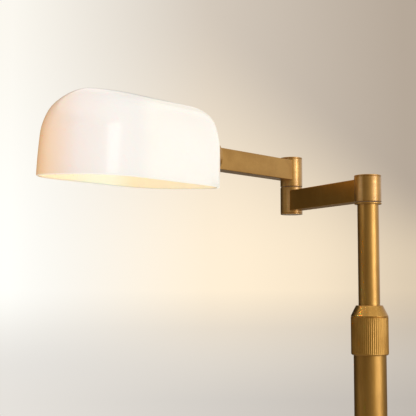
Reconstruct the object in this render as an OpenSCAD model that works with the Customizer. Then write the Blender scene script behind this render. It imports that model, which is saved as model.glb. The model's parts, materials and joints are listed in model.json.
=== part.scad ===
// Bridge floor lamp: weighted round base, telescoping column with a reeded
// clamp collar, two-link swing arm and an opal glass shade on a swivel.
// Millimetres, +Z up. The origin lies on the floor at the column's axis.
// +X is to the right and +Y away, for a viewer in front of the lamp.

/* [Base] */
// Outer diameter of the base cover
base_d = 270; // [220:1:340]
// Thickness of the felt pad under the base
pad_t = 2; // [1:0.5:4]
// How far the felt pad stays inside the cover's edge
pad_inset = 5; // [3:0.5:12]
// Height of the cast weight at its centre
weight_h = 22.5; // [20:0.5:32]
// How much lower the cover's rim is than its centre
base_fall = 5; // [2:0.5:7]
// Sheet thickness of the spun cover
cover_t = 1.5; // [1:0.1:2.5]
// Radius of the cover's rounded rim
cover_edge_r = 6; // [4:0.5:8]
// Radius of the flat land on which the column foot stands
land_r = 34; // [30:1:45]
// Radius of the pocket for the nut under the weight
pocket_r = 17; // [16:0.5:22]
// Depth of that pocket
pocket_d = 13; // [12:0.5:15]
// Width of the cable channel under the weight
channel_w = 12; // [11.5:0.5:14]
// Radius of the cable inlet through the grommet
inlet_r = 3.6; // [2.5:0.1:4]

/* [Column] */
// Outer diameter of the lower tube
lower_tube_d = 32; // [30:0.2:34]
// Wall of the lower tube
lower_tube_wall = 1.5; // [1.2:0.1:1.8]
// Length of the lower tube
lower_tube_len = 1000; // [700:5:1200]
// Outer diameter of the upper tube
upper_tube_d = 21.2; // [20:0.1:21.6]
// Wall of the upper tube
upper_tube_wall = 1.2; // [1:0.1:1.6]
// Length of the upper tube
upper_tube_len = 370; // [340:5:420]
// Length of upper tube that shows between collar and hub
riser_out = 100; // [90:1:180]
// Outer radius of the column foot
foot_r = 28; // [24:0.5:30]
// Height of the column foot
foot_h = 15; // [12:0.5:25]
// Thickness of the foot's floor under the tube
foot_floor = 4; // [3:0.5:6]

/* [Clamp collar] */
// Outer diameter of the reeded collar
collar_d = 36.8; // [36.2:0.1:40]
// Height of the reeded barrel
barrel_h = 38; // [36:0.5:46]
// Height of the cone above the barrel
cone_h = 10.4; // [9:0.1:14]
// Diameter of the cone's top
cone_top_d = 26.2; // [25:0.1:30]
// Length of the skirt that reaches down over the lower tube
skirt_h = 20; // [16:0.5:22]
// Number of reeds round the barrel
reeds = 60; // [40:1:72]
// Depth of the grooves between the reeds
reed_depth = 0.3; // [0.2:0.05:0.4]
// Number of slots that split the collet
collet_slots = 3; // [2:1:4]

/* [Swing arm] */
// Distance from the column's axis to the elbow's axis
lower_arm_len = 143; // [120:1:200]
// Distance from the elbow's axis to the end of the upper bar
upper_arm_len = 147; // [140:1:210]
// Height of both arm bars
bar_h = 22.4; // [20:0.1:24]
// Width of both arm bars
bar_w = 16.2; // [15.6:0.1:17.5]
// Wall of both arm bars
bar_wall = 1.5; // [1.2:0.1:1.6]
// Bevel along the bars' edges
bar_bevel = 0.6; // [0.3:0.1:0.9]
// Diameter of the hub on the column
hub_d = 26.9; // [26.4:0.1:30]
// Height of the hub with its seat and cap
hub_h = 29.2; // [27:0.1:36]
// Diameter of the elbow's knuckles
knuckle_d = 24.8; // [24.4:0.1:28]
// Height of the lower knuckle with its cap
lower_knuckle_h = 30.6; // [29:0.1:36]
// Height of the upper knuckle with its cap
upper_knuckle_h = 33; // [31:0.1:38]
// How far the upper bar lies above its knuckle's middle
upper_bar_up = 1.5; // [0:0.1:2]
// Thickness of the hub's and knuckles' caps
cap_t = 1.5; // [1.2:0.1:2.5]
// Thickness of the friction washers between turning pieces
friction_t = 0.8; // [0.5:0.1:1]

/* [Shade] */
// Length of the glass shade at its rim
shade_len = 172; // [150:1:200]
// Width of the glass shade at its rim
shade_w = 120.4; // [110:0.2:140]
// Height of the glass shade
shade_h = 78.4; // [76:0.2:95]
// Wall of the glass
glass_t = 3; // [2.6:0.1:3.4]
// Corner radius of the rim in plan
corner_r = 45; // [35:1:50]
// Length over which each end rounds over into the crown
end_round_len = 25; // [18:0.5:32]
// Height over which each end rounds over
end_round_h = 39; // [30:0.5:42]
// Height of the crown across the shade
crown_h = 19.4; // [14:0.2:26]
// Height of the arm's axis above the rim
axis_up = 34; // [31:0.5:38]
// Diameter of the brass disc at the upper bar's end
disc_d = 40; // [36:0.5:46]
// Thickness of that disc
disc_t = 6; // [4:0.1:8]
// Diameter of the disc's neck, on which the glass seats
neck_d = 26; // [24:0.5:28]
// Length of that neck
neck_len = 15.8; // [10:0.1:20]
// Thickness of the gaskets on both sides of the glass
gasket_t = 1.2; // [0.8:0.1:2]
// Radius of the bulb's globe
bulb_r = 19; // [15:0.5:20]

/* [Pose] */
// Direction of the lower arm, counted from +X
lower_azimuth = 117; // [0:1:359]
// Direction of the upper arm, counted from +X
upper_azimuth = 230; // [0:1:359]
// Roll of the shade about the upper arm
shade_roll = -3.5; // [-20:0.5:20]

/* [Hidden] */
$fn = 72;
eps = 0.01;
run_clear = 0.06;
face_gap = 0.05;
loose_gap = 0.3;

// Threaded parts, all with their threads drawn plain
nipple_r = 5;
nipple_bore_r = 3.5;
spindle_r = 6;
spindle_bore_r = 3.6;
lead_r = 2.8;
nut_flats = 16;
nut_t = 5;
spring_t = 1.2;
spring_gap = 0.1;

// Base heights
foot_z = pad_t + weight_h + cover_t;
cover_r = base_d / 2;
weight_r = cover_r - cover_t - 0.4;
channel_h = channel_w + 0.9;
inlet_z = pad_t + channel_h / 2 + 0.55;
pocket_z = pad_t + pocket_d;
base_washer_t = 2;
base_nut_t = 6;
nipple_foot_z = pocket_z - base_washer_t - base_nut_t - 2;

// Column heights
lower_r = lower_tube_d / 2;
lower_bore_r = lower_r - lower_tube_wall;
lower_tube_z = foot_z + foot_floor;
lower_tube_top = lower_tube_z + lower_tube_len;
tube_plug_h = 16;
upper_r = upper_tube_d / 2;
upper_bore_r = upper_r - upper_tube_wall;
collar_r = collar_d / 2;
collar_z = lower_tube_top - skirt_h;
shoulder_z = collar_z + barrel_h;
collar_top = shoulder_z + cone_h;
hub_z = collar_top + riser_out;
upper_tube_z = hub_z - upper_tube_len;
bush_h = 22;
bush_spigot_h = 12;

// Collet inside the collar
collet_spigot_h = 30;
collet_flange_h = 2;
collet_thread_r = lower_bore_r - 0.2;
collet_thread_h = 9;
collet_tip_r = collet_thread_r - 1.7;
collet_tip_h = 10;
collet_bore_r = upper_r + run_clear;
slot_w = 1.2;
flange_top = lower_tube_top + collet_flange_h;
thread_top = flange_top + friction_t + collet_thread_h;
collet_top = thread_top + collet_tip_h;

// Hub, elbow and bars
hub_r = hub_d / 2;
seat_t = 1.6;
arm_z = hub_z + hub_h / 2;
sleeve_z = hub_z + seat_t + friction_t + face_gap;
sleeve_top = hub_z + hub_h - cap_t;
well_drop = 4;
hub_well_z = arm_z - well_drop;
hub_well_r = hub_r - 2;
window_r = 3.3;
knuckle_r = knuckle_d / 2;
knuckle_well_r = knuckle_r - 2.1;
lower_knuckle_z = arm_z - lower_knuckle_h / 2;
lower_knuckle_top = arm_z + lower_knuckle_h / 2;
upper_knuckle_z = lower_knuckle_top + friction_t + face_gap;
upper_knuckle_top = upper_knuckle_z + upper_knuckle_h;
upper_bar_z = upper_knuckle_z + upper_knuckle_h / 2 + upper_bar_up;
elbow_well_z = upper_bar_z - well_drop;
pivot_head_r = 9.4;
pivot_head_t = 3;
cap_plug_h = 2;
edge_break = 0.4;

// Swivel at the upper bar's end, counted from the glass's outer face
swivel_gap = 0.4;
bar_inner_w = bar_w - 2 * bar_wall;
bar_inner_h = bar_h - 2 * bar_wall;
plug_len = 12;
disc_cove_r = 3;
neck_x = -gasket_t - neck_len;
disc_x = neck_x - disc_t;
bar_end_x = disc_x - face_gap - swivel_gap;
glass_x = upper_arm_len - bar_end_x;
plug_x = bar_end_x - plug_len;
swivel_nut_t = 4;
swivel_nut_r = bar_inner_w / 2 - loose_gap;
swivel_nut_x = plug_x - spring_gap - spring_t - swivel_nut_t;
nipple_x = swivel_nut_x - 2;

// Inside the shade, counted from the glass's outer face
inner_gasket_x = glass_t;
clamp_washer_x = inner_gasket_x + gasket_t;
clamp_washer_t = 1;
clamp_nut_x = clamp_washer_x + clamp_washer_t;
clamp_nut_t = 3;
cup_x = clamp_nut_x + clamp_nut_t;
cup_r = 14;
cup_wall = 1.2;
cup_len = 22;
cup_floor = 1.5;
seat_r = 12.5;
shell_r = 8;
shell_t = 0.5;
contact_x = cup_x + cup_floor + 4;
contact_t = 1;
bulb_tip_x = contact_x + contact_t;
bulb_cap_r = 7;
bulb_cap_len = 17;
bulb_glass_t = 1;
bulb_neck_x = bulb_tip_x + bulb_cap_len;
bulb_centre_x = bulb_neck_x + 4 + bulb_r;

// ---------- shared shapes ----------

// Points along an arc in the plane, from angle a to angle b
function arc(x, y, r, a, b, steps) =
    [for (i = [0 : steps]) [x + r * cos(a + (b - a) * i / steps), y + r * sin(a + (b - a) * i / steps)]];

// Tube or ring between two radii, from height z up
module ring(r_out, r_in, z, h) {
    translate([0, 0, z])
        difference() {
            cylinder(r = r_out, h = h);
            translate([0, 0, -eps])
                cylinder(r = r_in, h = h + 2 * eps);
        }
}

// Hexagonal nut on a shaft, with a true round hole
module hex_nut(flats, r_in, z, h) {
    translate([0, 0, z])
        difference() {
            cylinder(r = flats / sqrt(3), h = h, $fn = 6);
            translate([0, 0, -eps])
                cylinder(r = r_in, h = h + 2 * eps);
        }
}

// Conical disc spring
module disc_spring(r_out, r_in, z, h) {
    sheet = h / 2;
    translate([0, 0, z])
        rotate_extrude()
            polygon([[r_in, h - sheet], [r_out, 0], [r_out, sheet], [r_in, h]]);
}

// Turned cylinder with a small break at both outer edges
module turned(r, z, h) {
    translate([0, 0, z])
        rotate_extrude()
            polygon([
                [0, 0], [r - edge_break, 0], [r, edge_break],
                [r, h - edge_break], [r - edge_break, h], [0, h]
            ]);
}

// Lays what is drawn along +Z along +X instead
module along_x() {
    rotate([0, 90, 0])
        children();
}

// Bevelled bar section: width lies along Y and height along Z
module bar_section(w, h, bevel) {
    polygon([
        [-w / 2 + bevel, -h / 2], [w / 2 - bevel, -h / 2],
        [w / 2, -h / 2 + bevel], [w / 2, h / 2 - bevel],
        [w / 2 - bevel, h / 2], [-w / 2 + bevel, h / 2],
        [-w / 2, h / 2 - bevel], [-w / 2, -h / 2 + bevel]
    ]);
}

// Hollow bar from x0 to x1 with its middle at height z
module hollow_bar(x0, x1, z) {
    translate([x0, 0, z])
        rotate([90, 0, 90])
            linear_extrude(x1 - x0)
                difference() {
                    bar_section(bar_w, bar_h, bar_bevel);
                    square([bar_inner_w, bar_inner_h], center = true);
                }
}

// Frames of the moving pieces
module on_lower_arm() {
    rotate(lower_azimuth)
        children();
}

module at_elbow_lower() {
    on_lower_arm()
        translate([lower_arm_len, 0, 0])
            children();
}

module on_upper_arm() {
    at_elbow_lower()
        rotate(upper_azimuth - lower_azimuth)
            children();
}

module on_shade() {
    on_upper_arm()
        translate([glass_x, 0, upper_bar_z])
            rotate([shade_roll, 0, 0])
                children();
}

// ---------- base ----------

function cover_outside() = concat(
    [[cover_r, pad_t + 1]],
    arc(cover_r - cover_edge_r, foot_z - base_fall - cover_edge_r, cover_edge_r, 0, 80, 8),
    [[land_r, foot_z]]
);

function cover_inside(gap) = concat(
    [[cover_r - cover_t - gap, pad_t + 1]],
    arc(
        cover_r - cover_edge_r, foot_z - base_fall - cover_edge_r,
        cover_edge_r - cover_t - gap, 0, 80, 8
    ),
    [[land_r, foot_z - cover_t]]
);

function reversed(list) = [for (i = [len(list) - 1 : -1 : 0]) list[i]];

module floor_pad() {
    color("dimgray")
        cylinder(r = cover_r - pad_inset, h = pad_t, $fn = 96);
}

module base_weight() {
    color([0.2, 0.2, 0.21])
        difference() {
            rotate_extrude()
                polygon(concat(
                    [[0, pad_t], [weight_r, pad_t]],
                    cover_inside(0.4),
                    [[0, foot_z - cover_t]]
                ));
            translate([0, 0, pad_t - eps])
                cylinder(r = pocket_r, h = pocket_d + eps);
            cylinder(r = nipple_r + 0.2, h = foot_z);
            translate([-channel_w / 2, 0, pad_t - eps])
                cube([channel_w, cover_r, channel_h + eps]);
        }
}

module base_cover() {
    color([0.62, 0.46, 0.24])
        difference() {
            rotate_extrude()
                polygon(concat(
                    cover_outside(),
                    [[nipple_r, foot_z], [nipple_r, foot_z - cover_t]],
                    reversed(cover_inside(0))
                ));
            translate([0, cover_r, inlet_z])
                rotate([90, 0, 0])
                    cylinder(r = inlet_r + 1.4, h = 4 * cover_t, center = true);
        }
}

module cord_grommet() {
    neck_r = inlet_r + 1.4;
    lip = 2;
    relief = 0.3;
    color([0.12, 0.12, 0.12])
        translate([0, 0, inlet_z])
            rotate([-90, 0, 0])
                difference() {
                    union() {
                        translate([0, 0, cover_r])
                            cylinder(r = neck_r + 1.5, h = lip);
                        translate([0, 0, cover_r - cover_t - relief - lip])
                            cylinder(r = neck_r, h = cover_t + relief + 2 * lip);
                        translate([0, 0, cover_r - cover_t - relief - lip])
                            cylinder(r = neck_r + 0.4, h = lip);
                    }
                    translate([0, 0, cover_r - 10])
                        cylinder(r = inlet_r, h = 20);
                }
}

module base_washer() {
    color("silver")
        ring(pocket_r - 2, nipple_r, pocket_z - base_washer_t, base_washer_t);
}

module base_nut() {
    color("silver")
        hex_nut(nut_flats, nipple_r, pocket_z - base_washer_t - base_nut_t, base_nut_t);
}

module column_nipple() {
    color("silver")
        ring(nipple_r, nipple_bore_r, nipple_foot_z, lower_tube_z + tube_plug_h + 2 - nipple_foot_z);
}

module column_foot() {
    flange_t = 3;
    neck_r = lower_r + 2.6;
    cove_r = min(foot_r - neck_r - 0.5, foot_h - flange_t - 2);
    color([0.62, 0.46, 0.24])
        difference() {
            translate([0, 0, foot_z])
                rotate_extrude()
                    polygon(concat(
                        [[0, 0], [foot_r, 0], [foot_r, flange_t]],
                        arc(neck_r + cove_r, flange_t + cove_r, cove_r, 270, 180, 8),
                        [[neck_r, foot_h - 0.6], [neck_r - 0.6, foot_h], [0, foot_h]]
                    ));
            translate([0, 0, lower_tube_z])
                cylinder(r = lower_r, h = foot_h);
            translate([0, 0, foot_z - eps])
                cylinder(r = nipple_r, h = foot_h);
        }
}

// ---------- column ----------

module lower_tube() {
    color([0.66, 0.49, 0.26])
        ring(lower_r, lower_bore_r, lower_tube_z, lower_tube_len);
}

module tube_plug() {
    color("silver")
        ring(lower_bore_r, nipple_r, lower_tube_z, tube_plug_h);
}

// Split collet: plain spigot in the tube, flange on its end, thread, and tapered fingers
module clamp_collet() {
    color([0.7, 0.53, 0.28])
        difference() {
            rotate_extrude()
                polygon([
                    [collet_bore_r, lower_tube_top - collet_spigot_h],
                    [lower_bore_r, lower_tube_top - collet_spigot_h],
                    [lower_bore_r, lower_tube_top],
                    [lower_r, lower_tube_top],
                    [lower_r, flange_top],
                    [collet_thread_r, flange_top],
                    [collet_thread_r, thread_top],
                    [collet_tip_r, collet_top],
                    [collet_bore_r, collet_top]
                ]);
            for (i = [0 : collet_slots - 1])
                rotate(180 * i / collet_slots)
                    translate([-lower_tube_d, -slot_w / 2, flange_top + 2])
                        cube([2 * lower_tube_d, slot_w, collet_top]);
        }
}

module collar_washer() {
    color("ivory")
        ring(lower_r - 0.1, collet_thread_r, flange_top, friction_t);
}

module column_lead() {
    color([0.85, 0.85, 0.82])
        translate([0, 0, nipple_foot_z])
            cylinder(r = lead_r, h = upper_tube_z - bush_h - 130 - nipple_foot_z);
}

// Plan of the reeded barrel: a circle with a shallow round groove between reeds
module reeded_plan() {
    groove_w = 0.85 * PI * collar_d / reeds;
    groove_r = (pow(groove_w / 2, 2) + pow(reed_depth, 2)) / (2 * reed_depth);
    difference() {
        circle(r = collar_r);
        for (i = [0 : reeds - 1])
            rotate(360 * i / reeds)
                translate([collar_r + groove_r - reed_depth, 0])
                    circle(r = groove_r, $fn = 48);
    }
}

// The collar: reeded barrel, cone, and the stepped bore that closes the collet
module height_collar() {
    band = 1;
    neck_groove = 0.45;
    ledge_z = flange_top + friction_t + face_gap;
    mouth_r = upper_r + 0.25;
    color([0.64, 0.47, 0.25])
        difference() {
            union() {
                translate([0, 0, collar_z + band])
                    linear_extrude(barrel_h - band - neck_groove)
                        reeded_plan();
                rotate_extrude()
                    polygon([
                        [0, collar_z], [collar_r - 0.9, collar_z],
                        [collar_r - reed_depth, collar_z + 0.6],
                        [collar_r - reed_depth, shoulder_z],
                        [collar_r, shoulder_z],
                        [cone_top_d / 2 + 0.3, collar_top - 0.4],
                        [cone_top_d / 2, collar_top],
                        [0, collar_top]
                    ]);
            }
            rotate_extrude()
                polygon([
                    [0, collar_z - 1],
                    [lower_r + run_clear, collar_z - 1],
                    [lower_r + run_clear, ledge_z],
                    [collet_thread_r + run_clear, ledge_z],
                    [collet_thread_r + run_clear, thread_top],
                    [collet_tip_r + run_clear, collet_top],
                    [mouth_r, collet_top + 0.5],
                    [mouth_r, collar_top + 1],
                    [0, collar_top + 1]
                ]);
        }
}

module upper_tube() {
    color([0.68, 0.51, 0.27])
        ring(upper_r, upper_bore_r, upper_tube_z, upper_tube_len);
}

module slide_bush() {
    color("ivory")
        difference() {
            union() {
                translate([0, 0, upper_tube_z - bush_h])
                    cylinder(r = lower_bore_r - run_clear, h = bush_h);
                translate([0, 0, upper_tube_z])
                    cylinder(r = upper_bore_r, h = bush_spigot_h);
            }
            translate([0, 0, upper_tube_z - bush_h - eps])
                cylinder(r = lead_r + loose_gap, h = bush_h + bush_spigot_h + 1);
        }
}

// ---------- hub ----------

module pole_head() {
    spigot_h = 20;
    color([0.66, 0.49, 0.26])
        difference() {
            union() {
                translate([0, 0, hub_z - spigot_h])
                    cylinder(r = upper_bore_r, h = spigot_h);
                turned(hub_r, hub_z, seat_t);
                translate([0, 0, hub_z])
                    cylinder(r = spindle_r, h = hub_well_z + spring_t + nut_t + 1 - hub_z);
            }
            translate([0, 0, hub_z - spigot_h - eps])
                cylinder(r = spindle_bore_r, h = hub_h + spigot_h);
        }
}

module hub_washer() {
    color("ivory")
        ring(hub_r - 0.8, spindle_r, hub_z + seat_t, friction_t);
}

module hub_spring() {
    color("silver")
        disc_spring(hub_well_r - 1, spindle_r, hub_well_z + spring_gap, spring_t - spring_gap);
}

module hub_nut() {
    color("silver")
        hex_nut(nut_flats, spindle_r, hub_well_z + spring_t, nut_t);
}

module riser_lead() {
    color([0.85, 0.85, 0.82])
        translate([0, 0, upper_tube_z - bush_h])
            cylinder(r = lead_r, h = hub_well_z - upper_tube_z + bush_h);
}

module hub_sleeve() {
    color([0.68, 0.51, 0.27])
        on_lower_arm()
            difference() {
                turned(hub_r, sleeve_z, sleeve_top - sleeve_z);
                translate([0, 0, sleeve_z - eps])
                    cylinder(r = spindle_r + run_clear, h = hub_h);
                translate([0, 0, hub_well_z])
                    cylinder(r = hub_well_r, h = hub_h);
                translate([hub_well_r - 2, 0, arm_z])
                    along_x()
                        cylinder(r = window_r, h = 8);
            }
}

// Cap with a thin plug that holds it in the well below
module well_cap(r, well_r, z) {
    difference() {
        union() {
            turned(r, z, cap_t);
            translate([0, 0, z - cap_plug_h])
                cylinder(r = well_r, h = cap_plug_h + eps);
        }
        translate([0, 0, z - cap_plug_h - eps])
            cylinder(r = well_r - 1.2, h = cap_plug_h);
    }
}

module hub_cap() {
    color([0.68, 0.51, 0.27])
        on_lower_arm()
            well_cap(hub_r, hub_well_r, sleeve_top);
}

// ---------- lower arm ----------

module lower_arm_bar() {
    color([0.55, 0.4, 0.2])
        on_lower_arm()
            difference() {
                hollow_bar(hub_r / 2, lower_arm_len - knuckle_r / 2, arm_z);
                translate([0, 0, sleeve_z])
                    cylinder(r = hub_r, h = hub_h);
                translate([lower_arm_len, 0, lower_knuckle_z])
                    cylinder(r = knuckle_r, h = lower_knuckle_h);
            }
}

module lower_knuckle() {
    floor_z = lower_knuckle_z + cap_t;
    color([0.55, 0.4, 0.2])
        at_elbow_lower()
            difference() {
                turned(knuckle_r, floor_z, lower_knuckle_top - floor_z);
                translate([0, 0, floor_z - eps])
                    cylinder(r = spindle_r, h = lower_knuckle_h);
                translate([0, 0, floor_z - eps])
                    cylinder(r = knuckle_well_r, h = cap_plug_h + pivot_head_t + eps);
                translate([-knuckle_r - 1, 0, arm_z])
                    along_x()
                        cylinder(r = window_r, h = knuckle_r);
            }
}

module lower_knuckle_cap() {
    color([0.62, 0.46, 0.24])
        at_elbow_lower()
            translate([0, 0, lower_knuckle_z + cap_t])
                mirror([0, 0, 1])
                    well_cap(knuckle_r, knuckle_well_r, 0);
}

// Hollow pivot bolt: its head sits in the lower knuckle, its shank carries the upper one
module elbow_pivot() {
    head_z = lower_knuckle_z + cap_t + cap_plug_h;
    shank_top = elbow_well_z + spring_t + nut_t + 1;
    color("silver")
        at_elbow_lower()
            difference() {
                union() {
                    translate([0, 0, head_z])
                        cylinder(r = pivot_head_r, h = pivot_head_t);
                    translate([0, 0, head_z])
                        cylinder(r = spindle_r, h = shank_top - head_z);
                }
                translate([0, 0, head_z - eps])
                    cylinder(r = spindle_bore_r, h = shank_top);
                translate([-2 * spindle_r, 0, arm_z])
                    along_x()
                        cylinder(r = window_r, h = 2 * spindle_r);
            }
}

module elbow_washer() {
    color("ivory")
        at_elbow_lower()
            ring(knuckle_r - 0.8, spindle_r, lower_knuckle_top, friction_t);
}

module elbow_spring() {
    color("silver")
        at_elbow_lower()
            disc_spring(knuckle_well_r - 0.8, spindle_r, elbow_well_z + spring_gap, spring_t - spring_gap);
}

module elbow_nut() {
    color("silver")
        at_elbow_lower()
            hex_nut(nut_flats, spindle_r, elbow_well_z + spring_t, nut_t);
}

module lower_arm_lead() {
    color([0.85, 0.85, 0.82])
        on_lower_arm()
            translate([hub_well_r - 0.9, 0, arm_z])
                along_x()
                    cylinder(r = lead_r, h = lower_arm_len - hub_well_r + 0.9);
}

// ---------- upper arm ----------

module upper_knuckle() {
    body_h = upper_knuckle_h - cap_t;
    color([0.68, 0.51, 0.27])
        on_upper_arm()
            difference() {
                turned(knuckle_r, upper_knuckle_z, body_h);
                translate([0, 0, upper_knuckle_z - eps])
                    cylinder(r = spindle_r + run_clear, h = upper_knuckle_h);
                translate([0, 0, elbow_well_z])
                    cylinder(r = knuckle_well_r, h = upper_knuckle_h);
                translate([knuckle_well_r - 2, 0, upper_bar_z])
                    along_x()
                        cylinder(r = window_r, h = 8);
            }
}

module upper_knuckle_cap() {
    color([0.68, 0.51, 0.27])
        on_upper_arm()
            well_cap(knuckle_r, knuckle_well_r, upper_knuckle_top - cap_t);
}

module upper_arm_bar() {
    color([0.68, 0.51, 0.27])
        on_upper_arm()
            difference() {
                hollow_bar(knuckle_r / 2, upper_arm_len, upper_bar_z);
                translate([0, 0, upper_knuckle_z])
                    cylinder(r = knuckle_r, h = upper_knuckle_h);
            }
}

module bar_end_plug() {
    color([0.6, 0.45, 0.24])
        on_upper_arm()
            translate([glass_x + plug_x, 0, upper_bar_z])
                difference() {
                    translate([0, -bar_inner_w / 2, -bar_inner_h / 2])
                        cube([plug_len, bar_inner_w, bar_inner_h]);
                    translate([-eps, 0, 0])
                        along_x()
                            cylinder(r = nipple_r + run_clear, h = plug_len + 2 * eps);
                }
}

module swivel_washer() {
    color("ivory")
        on_upper_arm()
            translate([glass_x, 0, upper_bar_z])
                along_x()
                    ring(bar_w / 2 - 0.4, nipple_r + run_clear, bar_end_x, swivel_gap);
}

module upper_arm_lead() {
    start_x = knuckle_well_r - 0.8;
    color([0.85, 0.85, 0.82])
        on_upper_arm()
            translate([start_x, 0, upper_bar_z])
                along_x()
                    cylinder(r = lead_r, h = glass_x + plug_x + plug_len / 2 - start_x);
}

// ---------- shade head ----------

module swivel_nipple() {
    color("silver")
        on_shade()
            along_x()
                ring(nipple_r, nipple_bore_r, nipple_x, cup_x + cup_floor + 1 - nipple_x);
}

module swivel_spring() {
    color("silver")
        on_shade()
            along_x()
                translate([0, 0, plug_x - spring_gap])
                    mirror([0, 0, 1])
                        disc_spring(swivel_nut_r, nipple_r, 0, spring_t);
}

module swivel_nut() {
    color("silver")
        on_shade()
            along_x()
                ring(swivel_nut_r, nipple_r, swivel_nut_x, swivel_nut_t);
}

module shade_disc() {
    disc_r = disc_d / 2;
    neck_r = neck_d / 2;
    color([0.7, 0.53, 0.28])
        on_shade()
            along_x()
                rotate_extrude()
                    polygon(concat(
                        [
                            [nipple_r, disc_x],
                            [disc_r - edge_break, disc_x],
                            [disc_r, disc_x + edge_break],
                            [disc_r, neck_x - edge_break],
                            [disc_r - edge_break, neck_x]
                        ],
                        arc(neck_r + disc_cove_r, neck_x + disc_cove_r, disc_cove_r, 270, 180, 6),
                        [
                            [neck_r, -gasket_t - edge_break],
                            [neck_r - edge_break, -gasket_t],
                            [nipple_r, -gasket_t]
                        ]
                    ));
}

module outer_gasket() {
    color([0.9, 0.9, 0.88])
        on_shade()
            along_x()
                ring(neck_d / 2 - 0.6, nipple_r, -gasket_t, gasket_t);
}

// How far a wall has drawn in at height z: 0 at the start of the rounding and 1 at the top
function rounding(z, top, h, power) =
    let (w = min(1, max(0, (z - top + h) / h)))
    1 - pow(1 - pow(w, power), 1 / power);

// One level of the glass: a rectangle with round corners, drawn in by `in` from the outside
function glass_level(z, in, top) =
    let (
        a = shade_len / 2 - in - (end_round_len - in) * rounding(z, top, end_round_h - in, 1.67),
        b = (shade_w / 2 - in) * (1 - rounding(z, top, crown_h - in, 2)),
        fullness = 1 - (1 - corner_r / (shade_w / 2)) * (1 - pow(z / shade_h, 2)),
        r = b * fullness
    )
    [for (side = [0 : 3], i = [0 : corner_steps])
        let (
            t = 90 * side + 90 * i / corner_steps,
            sx = side == 0 || side == 3 ? 1 : -1,
            sy = side < 2 ? 1 : -1
        )
        [sx * (a - r) + r * cos(t), sy * (b - r) + r * sin(t), z]
    ];

corner_steps = 16;
level_steps = 18;
rim_steps = 4;
last_level = 87;

// Heights of the levels on the rounded stretch, up the outside and down the inside
outer_levels = [for (i = [0 : level_steps])
    shade_h - end_round_h + end_round_h * sin(last_level * i / level_steps)];
inner_levels = [for (i = [level_steps : -1 : 0])
    let (h = end_round_h - glass_t)
    shade_h - glass_t - h + h * sin(last_level * i / level_steps)];

// Level i round the rim's half-round edge, from the inside to the outside
function rim_level(i) =
    let (
        t = 180 * i / (rim_steps + 1),
        r = glass_t / 2
    )
    glass_level(r - r * sin(t), r + r * cos(t), shade_h);

// The whole skin as a pile of levels: down the inside, round the rim and up the outside
module glass_skin() {
    outside = [for (z = outer_levels) glass_level(z, 0, shade_h)];
    inside = [for (z = inner_levels) glass_level(z, glass_t, shade_h - glass_t)];
    inner_edge = [glass_level(glass_t / 2, glass_t, shade_h - glass_t)];
    rim = [for (i = [1 : rim_steps]) rim_level(i)];
    outer_edge = [glass_level(glass_t / 2, 0, shade_h)];
    levels = concat(inside, inner_edge, rim, outer_edge, outside);
    count = len(levels[0]);
    last = len(levels) - 1;
    polyhedron(
        points = [for (level = levels, p = level) p],
        faces = concat(
            [[for (j = [0 : count - 1]) j]],
            [[for (j = [count - 1 : -1 : 0]) last * count + j]],
            [for (k = [0 : last - 1], j = [0 : count - 1])
                [k * count + j, (k + 1) * count + j, k * count + (j + 1) % count]],
            [for (k = [0 : last - 1], j = [0 : count - 1])
                [(k + 1) * count + j, (k + 1) * count + (j + 1) % count, k * count + (j + 1) % count]]
        )
    );
}

module glass_shade() {
    color([0.97, 0.95, 0.92])
        on_shade()
            difference() {
                translate([shade_len / 2, 0, -axis_up])
                    glass_skin();
                translate([-1, 0, 0])
                    along_x()
                        cylinder(r = nipple_r + 0.3, h = glass_t + 2);
                translate([glass_t, 0, 0])
                    along_x()
                        cylinder(r = seat_r, h = 6);
            }
}

module inner_gasket() {
    color([0.9, 0.9, 0.88])
        on_shade()
            along_x()
                ring(seat_r - 1, nipple_r, inner_gasket_x, gasket_t);
}

module clamp_washer() {
    color("silver")
        on_shade()
            along_x()
                ring(seat_r - 0.5, nipple_r, clamp_washer_x, clamp_washer_t);
}

module clamp_nut() {
    color("silver")
        on_shade()
            along_x()
                hex_nut(nut_flats, nipple_r, clamp_nut_x, clamp_nut_t);
}

module socket_cup() {
    color([0.7, 0.53, 0.28])
        on_shade()
            along_x()
                difference() {
                    translate([0, 0, cup_x])
                        cylinder(r = cup_r, h = cup_len);
                    translate([0, 0, cup_x + cup_floor])
                        cylinder(r = cup_r - cup_wall, h = cup_len);
                    translate([0, 0, cup_x - eps])
                        cylinder(r = nipple_r, h = cup_floor + 1);
                }
}

module socket_body() {
    body_x = cup_x + cup_floor;
    body_len = cup_len - cup_floor + 2;
    color("ivory")
        on_shade()
            along_x()
                difference() {
                    translate([0, 0, body_x])
                        cylinder(r = cup_r - cup_wall, h = body_len);
                    translate([0, 0, contact_x])
                        cylinder(r = shell_r, h = body_len);
                    translate([0, 0, body_x - eps])
                        cylinder(r = nipple_r, h = 1.5);
                    translate([0, 0, body_x])
                        cylinder(r = 1.5, h = body_len);
                }
}

module socket_shell() {
    color([0.8, 0.7, 0.45])
        on_shade()
            along_x()
                ring(shell_r, shell_r - shell_t, contact_x, bulb_cap_len);
}

module socket_contact() {
    color([0.8, 0.6, 0.35])
        on_shade()
            along_x()
                translate([0, 0, contact_x])
                    cylinder(r = 3, h = contact_t);
}

module bulb_cap() {
    tip_h = 2;
    color("silver")
        on_shade()
            along_x()
                rotate_extrude()
                    polygon([
                        [0, bulb_tip_x], [2.5, bulb_tip_x], [3, bulb_tip_x + tip_h],
                        [bulb_cap_r, bulb_tip_x + 2 * tip_h], [bulb_cap_r, bulb_neck_x],
                        [0, bulb_neck_x]
                    ]);
}

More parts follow.
